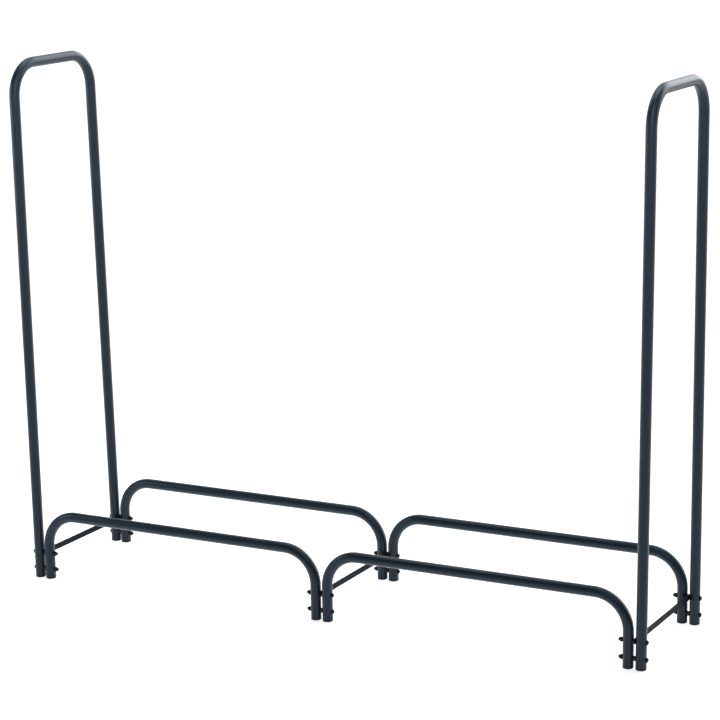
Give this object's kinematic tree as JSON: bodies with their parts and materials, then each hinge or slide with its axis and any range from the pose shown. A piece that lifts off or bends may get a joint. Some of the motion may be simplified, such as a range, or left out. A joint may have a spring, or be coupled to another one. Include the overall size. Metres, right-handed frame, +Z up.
{
  "type": "firewood log rack",
  "caption": "Open firewood rack of bent round tube: tall arched end frames joined by low arched base rails, flat crossbars and bolted leg pairs with foot caps.",
  "frame": {"origin": "on the floor, in the middle of the rack's footprint", "axes": "+X along the rack towards the right end, +Y from the front rails to the back rails, +Z up"},
  "size_m": [1.5434, 0.338, 1.2],
  "materials": {
    "frame_powder_coat": "satin, fine-textured charcoal-black powder coat with a slight blue cast",
    "dark_fastener": "black oxide steel, semi-gloss",
    "black_plastic": "black moulded plastic, fine grain"
  },
  "bodies": {
    "root": {"end_frame_left": "frame_powder_coat", "end_frame_right": "frame_powder_coat", "base_rail_front_left": "frame_powder_coat", "base_rail_front_right": "frame_powder_coat", "base_rail_back_left": "frame_powder_coat", "base_rail_back_right": "frame_powder_coat", "crossbar_left": "frame_powder_coat", "bolt_left_front_lower": "dark_fastener", "cap_nut_left_front_lower": "dark_fastener", "spacer_left_front_lower": "black_plastic", "bolt_left_front_upper": "dark_fastener", "cap_nut_left_front_upper": "dark_fastener", "spacer_left_front_upper": "black_plastic", "foot_cap_left_front_frame": "black_plastic", "foot_cap_left_front_rail": "black_plastic", "bolt_left_back_lower": "dark_fastener", "cap_nut_left_back_lower": "dark_fastener", "spacer_left_back_lower": "black_plastic", "bolt_left_back_upper": "dark_fastener", "cap_nut_left_back_upper": "dark_fastener", "spacer_left_back_upper": "black_plastic", "foot_cap_left_back_frame": "black_plastic", "foot_cap_left_back_rail": "black_plastic", "crossbar_centre": "frame_powder_coat", "bolt_centre_front_lower": "dark_fastener", "cap_nut_centre_front_lower": "dark_fastener", "spacer_centre_front_lower": "black_plastic", "bolt_centre_front_upper": "dark_fastener", "cap_nut_centre_front_upper": "dark_fastener", "spacer_centre_front_upper": "black_plastic", "foot_cap_centre_front_rail_left": "black_plastic", "foot_cap_centre_front_rail_right": "black_plastic", "bolt_centre_back_lower": "dark_fastener", "cap_nut_centre_back_lower": "dark_fastener", "spacer_centre_back_lower": "black_plastic", "bolt_centre_back_upper": "dark_fastener", "cap_nut_centre_back_upper": "dark_fastener", "spacer_centre_back_upper": "black_plastic", "foot_cap_centre_back_rail_left": "black_plastic", "foot_cap_centre_back_rail_right": "black_plastic", "crossbar_right": "frame_powder_coat", "bolt_right_front_lower": "dark_fastener", "cap_nut_right_front_lower": "dark_fastener", "spacer_right_front_lower": "black_plastic", "bolt_right_front_upper": "dark_fastener", "cap_nut_right_front_upper": "dark_fastener", "spacer_right_front_upper": "black_plastic", "foot_cap_right_front_rail": "black_plastic", "foot_cap_right_front_frame": "black_plastic", "bolt_right_back_lower": "dark_fastener", "cap_nut_right_back_lower": "dark_fastener", "spacer_right_back_lower": "black_plastic", "bolt_right_back_upper": "dark_fastener", "cap_nut_right_back_upper": "dark_fastener", "spacer_right_back_upper": "black_plastic", "foot_cap_right_back_rail": "black_plastic", "foot_cap_right_back_frame": "black_plastic"}
  },
  "joints": []
}
